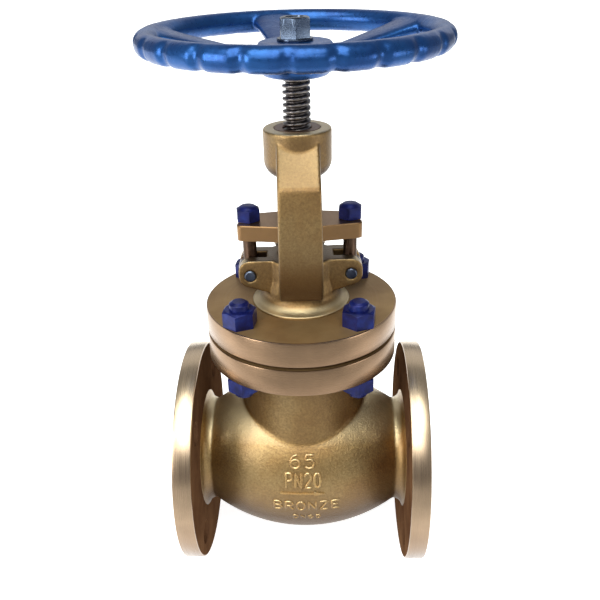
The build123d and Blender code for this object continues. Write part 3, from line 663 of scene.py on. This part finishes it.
def cover_plate(name, nodes, low, high, inside):
    """Round plate of the bonnet joint with its four stud holes."""
    plate = flange_ring(name, None, COVER_RADIUS, low, high, inside)
    middle = (low + high) / 2
    places = [(STEM_X + a * STUD_REACH, b * STUD_REACH, middle) for a in SIDES for b in SIDES]
    holes = [post("hole", place, (0, 0, 1), STUD_HOLE_RADIUS, high - low) for place in places]
    cut(plate, "DIFFERENCE", *holes)
    return finish_piece(plate, RIM_STEM, "valve_frame", nodes)


def band(name, inner, outer, middle, reach):
    """Ring of square section about the stem's axis, that sinks a skin into a plate above or below it."""
    low, high = middle - reach, middle + reach
    return turned(name, [(inner, low), (outer, low), (outer, high), (inner, high)], 96)


def body_casting():
    """The body without its machined plates: belly, neck, passages and partition."""
    sections = ["body_neck", "body_partition"]
    sections += [f"body_{face}_{level}" for face in ("front", "back") for level in ("low", "high")]
    fillet = [
        (33, -4), (46, -4), (49, 0), (45.6, 0.9), (43.4, 2.6), (41.9, 5.0), (41.4, 7.5), (40, 10), (33, 10),
    ]
    fillet = [(radius * MM, height * MM) for radius, height in fillet]
    fillets = [
        turned("inlet_root", fillet, 96, (INLET_X + FLANGE_THICK, 1)),
        turned("outlet_root", fillet, 96, (OUTLET_X - FLANGE_THICK, -1)),
    ]
    collar = band("collar", BODY_THROAT_RADIUS, 45.9 * MM, COVER_LOW, 4 * MM)
    shell = joined("body_casting", [copy_of_cad("sections", sections), *fillets, collar])
    cast_together(shell, 1.0 * MM, 5)
    return finish_piece(shell, CAST, "valve_frame", sections, SMOOTH_ALL)


# ---------------------------------------------------------------- bonnet
def bonnet_casting():
    """Stuffing box, lugs, yoke arms and hub, with the casting's soft corners."""
    sections = ["stuffing_box", "yoke_arm_front", "yoke_arm_back", "yoke_hub"]
    root = band("root", 16 * MM, 36.9 * MM, BONNET_TOP, 1.5 * MM)
    shell = joined("bonnet_casting", [copy_of_cad("sections", sections), root])
    cast_together(shell, 0.75 * MM, 9)
    return finish_piece(shell, CAST, "valve_frame", sections, SMOOTH_ALL)


# ---------------------------------------------------------------- marks cast on the belly
def on_belly(obj, centre_angle):
    """Wraps a flat piece made in X (along the flow), Y (up) and Z (out) onto the belly's front."""
    for vertex in obj.data.vertices:
        x, y, out = vertex.co
        radius = BELLY_RADIUS - x * x / (2 * BELLY_CURVE)
        angle = math.radians(centre_angle) + y / BELLY_RADIUS
        reach = radius + out
        vertex.co = (STEM_X + x, -reach * math.cos(angle), reach * math.sin(angle))
    return obj


def bend(x, y, wide, high, start, end, steps=12):
    """Points along part of an ellipse, from start to end degrees."""
    angles = [math.radians(start + (end - start) * i / steps) for i in range(steps + 1)]
    return [(x + wide * math.cos(a), y + high * math.sin(a)) for a in angles]


def letter_strokes():
    """Strokes of plain generic letters, in a box one unit wide and high."""
    stem = [(0.1, 0.0), (0.1, 1.0)]
    return {
        "2": [bend(0.5, 0.70, 0.42, 0.30, 165, -35) + [(0.08, 0.0), (0.95, 0.0)]],
        "5": [[(0.90, 1.0), (0.20, 1.0), (0.14, 0.58)] + bend(0.48, 0.33, 0.42, 0.33, 112, -145)],
        "6": [bend(0.75, 0.50, 0.68, 0.50, 95, 180, 8) + bend(0.5, 0.32, 0.42, 0.32, 180, 540, 18)],
        "0": [bend(0.5, 0.5, 0.42, 0.50, 90, 450, 22)],
        "B": [stem + [(0.5, 1.0)] + bend(0.5, 0.76, 0.36, 0.24, 90, -90, 8) + [(0.1, 0.52)],
              [(0.5, 0.52)] + bend(0.5, 0.26, 0.42, 0.26, 90, -90, 8) + [(0.1, 0.0)]],
        "P": [stem + [(0.5, 1.0)] + bend(0.5, 0.74, 0.38, 0.26, 90, -90, 8) + [(0.1, 0.48)]],
        "R": [stem + [(0.5, 1.0)] + bend(0.5, 0.74, 0.38, 0.26, 90, -90, 8) + [(0.1, 0.48)],
              [(0.45, 0.48), (0.92, 0.0)]],
        "O": [bend(0.5, 0.5, 0.44, 0.50, 90, 450, 22)],
        "N": [stem + [(0.9, 0.0), (0.9, 1.0)]],
        "Z": [[(0.08, 1.0), (0.92, 1.0), (0.08, 0.0), (0.92, 0.0)]],
        "E": [[(0.9, 1.0), (0.1, 1.0), (0.1, 0.0), (0.9, 0.0)], [(0.1, 0.52), (0.72, 0.52)]],
        "D": [stem + [(0.4, 1.0)] + bend(0.4, 0.5, 0.5, 0.5, 90, -90, 12) + [(0.1, 0.0)]],
    }


def raised_words(name, letters, bead):
    """Rounded cast letters whose strokes have radius bead. letters holds (letter, left, right, low,
    high), in mm along the flow and in degrees up the belly."""
    strokes = letter_strokes()
    curve = bpy.data.curves.new(name, "CURVE")
    curve.dimensions = "3D"
    curve.bevel_depth = bead
    curve.bevel_resolution = 3
    curve.use_fill_caps = True
    for letter, left, right, low, high in letters:
        bottom, top = (math.radians(angle) * BELLY_RADIUS for angle in (low, high))
        for stroke in strokes[letter]:
            points = [((left + (right - left) * u) * MM, bottom + (top - bottom) * v) for u, v in stroke]
            points = fine_line(points)
            spline = curve.splines.new("POLY")
            spline.points.add(len(points) - 1)
            for index, (x, y) in enumerate(points):
                spline.points[index].co = (x, y, 0, 1)
                spline.points[index].radius = 0.7 if index in (0, len(points) - 1) else 1.0
    source = bpy.data.objects.new(name, curve)
    bpy.context.scene.collection.objects.link(source)
    graph = bpy.context.evaluated_depsgraph_get()
    mesh = bpy.data.meshes.new_from_object(source.evaluated_get(graph))
    discard(source)
    obj = bpy.data.objects.new(name, mesh)
    bpy.context.scene.collection.objects.link(obj)
    for vertex in mesh.vertices:
        vertex.co.z *= 0.85
    on_belly(obj, 0)
    return finish_piece(obj, LIT_MARKS, "valve_frame", angle=70)


def fine_line(points):
    """The same line with extra points, so that it can follow the belly."""
    step = 1.5 * MM
    result = [points[0]]
    for start, end in zip(points, points[1:]):
        pieces = max(1, round(math.dist(start, end) / step))
        result += [
            (start[0] + (end[0] - start[0]) * i / pieces, start[1] + (end[1] - start[1]) * i / pieces)
            for i in range(1, pieces + 1)
        ]
    return result


def word(text, left, right, low, high, gap):
    """Letters of one word spaced evenly between left and right, gap being in letter widths."""
    width = (right - left) / (len(text) + gap * (len(text) - 1))
    places = [left + index * width * (1 + gap) for index in range(len(text))]
    return [(letter, place, place + width, low, high) for letter, place in zip(text, places)]


def flow_arrow(name, half_length, centre_angle):
    """Raised arrow that points along the flow."""
    shaft, head, barb, depth = 0.7 * MM, 8 * MM, 2.6 * MM, 0.8 * MM
    neck = half_length - head
    xs = [-half_length + 2 * half_length * i / 24 for i in range(25)]
    xs = sorted(set([x for x in xs if abs(x - neck) > 0.5 * MM] + [neck, neck + 0.01 * MM]))
    vertices, ring = [], 4
    for x in xs:
        half = shaft if x <= neck else max(0.12 * MM, barb * (half_length - x) / head)
        top = 0.75 * half
        vertices += [(x, -half, -depth), (x, half, -depth), (x, top, depth), (x, -top, depth)]
    faces = grid_faces(len(xs), ring) + [(0, 1, 2, 3), tuple(range(len(vertices) - ring, len(vertices)))]
    arrow = face_outwards(new_object(name, vertices, faces))
    return finish_piece(on_belly(arrow, centre_angle), LIT_MARKS, "valve_frame")


# ---------------------------------------------------------------- CAD pieces that stay
def dress(nodes, material, bevel):
    """Gives CAD nodes their finish, and softened edges where bevel is above zero."""
    for name in nodes:
        obj = NODES[name]
        obj.data.materials.clear()
        obj.data.materials.append(material)
        weld = obj.modifiers.new("weld", "WELD")
        weld.merge_threshold = WELD_GAP
        if bevel:
            soften = obj.modifiers.new("soften", "BEVEL")
            soften.width = bevel
            soften.segments = 2
            soften.limit_method = "ANGLE"
            soften.angle_limit = math.radians(35)


def dress_all():
    """Materials and edge roundings of the CAD nodes that show as they are."""
    groups = [
        (["gland_flange"], GLAND_BRONZE, 0.5 * MM),
        (["gland_follower", "seat_ring", "backseat_bush", "packing_washer"], TRIM, 0.2 * MM),
        (["disc", "disc_nut"], TRIM, 0.2 * MM),
        (["yoke_bush"], BUSH, 0.2 * MM),
        (["stem"], STEM, 0.0),
        (["wheel_nut", "wheel_washer", "bush_set_screw", "thrust_plate"], BRIGHT, 0.25 * MM),
        (["eyebolt_left", "eyebolt_right"], DULL, 0.3 * MM),
        (["eyebolt_pin_left", "eyebolt_pin_right"], BLUED, 0.2 * MM),
        (["bonnet_gasket"], GASKET, 0.0),
        (["packing_rings"], BRAID, 0.3 * MM),
        (["gland_nut_left", "gland_nut_right"], BOLT, 0.4 * MM),
    ]
    groups.append(([f"{kind}_{i}" for kind in ("upper_nut", "lower_nut") for i in COPIES], BOLT, 0.35 * MM))
    groups.append(([f"bonnet_stud_{i}" for i in COPIES], BOLT, 0.3 * MM))
    for nodes, material, bevel in groups:
        dress(nodes, material, bevel)


# ---------------------------------------------------------------- studio
def camera():
    """Camera in front of the valve, a little above it and to the right of the stem."""
    yaw, pitch, roll = (math.radians(a) for a in (-2.498, -26.446, -1.4149))
    forward = Vector((math.sin(yaw) * math.cos(pitch), math.cos(yaw) * math.cos(pitch), math.sin(pitch)))
    right = Vector((math.cos(yaw), -math.sin(yaw), 0))
    up = right.cross(forward)
    side = right * math.cos(roll) + up * math.sin(roll)
    top = up * math.cos(roll) - right * math.sin(roll)
    data = bpy.data.cameras.new("camera")
    data.sensor_width = 36
    data.lens = 44.91  # fitted, with the place and the angles, to the outlines in the photo
    data.clip_start = 0.01
    obj = bpy.data.objects.new("camera", data)
    turn = Matrix((side, top, -forward)).transposed().to_4x4()
    obj.matrix_world = Matrix.Translation((STEM_X + 0.0214, -0.5126, 0.3938)) @ turn
    bpy.context.scene.collection.objects.link(obj)
    bpy.context.scene.camera = obj


def softbox(name, place, target, size, power):
    """Rectangular area light aimed at a point."""
    data = bpy.data.lights.new(name, "AREA")
    data.shape = "RECTANGLE"
    data.size, data.size_y = size
    data.energy = power
    obj = bpy.data.objects.new(name, data)
    obj.location = place
    obj.rotation_euler = (Vector(target) - Vector(place)).to_track_quat("-Z", "Y").to_euler()
    bpy.context.scene.collection.objects.link(obj)


def studio():
    """Pale floor, soft lights and a dim even world."""
    floor_z = cad_box[0][2]
    size = 9
    corners = [(-size, -size, floor_z), (size, -size, floor_z), (size, size, floor_z), (-size, size, floor_z)]
    floor = new_object("floor", corners, [(0, 1, 2, 3)])
    floor.data.materials.append(pale_floor())
    world = bpy.data.worlds.new("world")
    world.use_nodes = True
    world.node_tree.nodes["Background"].inputs["Color"].default_value = (0.86, 0.88, 0.92, 1)
    world.node_tree.nodes["Background"].inputs["Strength"].default_value = 0.28
    bpy.context.scene.world = world
    middle = (STEM_X, 0, 0.12)
    key = bpy.data.lights.new("ceiling_light", "SUN")
    key.energy = 3.0
    key.color = (0.97, 1.0, 0.95)
    key.angle = math.radians(52)
    sky = bpy.data.objects.new("ceiling_light", key)
    sky.rotation_euler = Vector((0.10, 0.41, -0.91)).to_track_quat("-Z", "Y").to_euler()
    bpy.context.scene.collection.objects.link(sky)
    softbox("left_light", (STEM_X - 1.0, -0.75, 0.52), middle, (0.5, 0.9), 10)
    softbox("right_light", (STEM_X + 1.0, -0.45, 0.22), middle, (0.5, 0.34), 2)
    softbox("back_light", (STEM_X, 1.2, 0.85), middle, (2.0, 0.8), 2.8)
    softbox("front_light", (STEM_X - 0.1, -1.25, 1.05), middle, (1.3, 0.4), 5)
    bpy.context.scene.view_settings.view_transform = "Standard"


# ---------------------------------------------------------------- the whole valve
camera()
studio()
dress_all()
handwheel()
body_casting()
end_flange("inlet_flange_plate", "body_inlet_flange", INLET_X, 1)
end_flange("outlet_flange_plate", "body_outlet_flange", OUTLET_X, -1)
cover_plate("body_cover_plate", ["body_cover_flange"], COVER_LOW, COVER_TOP, [
    (BODY_THROAT_RADIUS, COVER_TOP), (BODY_THROAT_RADIUS, COVER_LOW),
])
cover_plate("bonnet_cover_plate", ["bonnet_flange"], BONNET_LOW, BONNET_TOP, [
    (BONNET_BORE_RADIUS, BONNET_TOP), (BONNET_BORE_RADIUS, BUSH_TOP),
    (BUSH_POCKET_RADIUS, BUSH_TOP), (BUSH_POCKET_RADIUS, BUSH_SEAT),
    (CONE_TOP_RADIUS, BUSH_SEAT), (CONE_LOW_RADIUS, BONNET_LOW),
    (CONE_LOW_RADIUS, SPIGOT_LOW), (SPIGOT_RADIUS, SPIGOT_LOW), (SPIGOT_RADIUS, BONNET_LOW),
])
bonnet_casting()
raised_words("mark_size", word("65", -9.5, 10.0, 22.4, 31.6, 0.3), 1.15 * MM)
raised_words("mark_class", word("PN20", -13.0, 14.5, 8.0, 18.8, 0.3), 1.3 * MM)
flow_arrow("mark_arrow", 17 * MM, 3.3)
raised_words("mark_alloy", word("BRONZE", -23, 29, -12.0, -4.2, 0.3), 1.05 * MM)
raised_words("mark_bore", word("DN65", -8, 14, -23.0, -18.6, 0.35), 0.6 * MM)
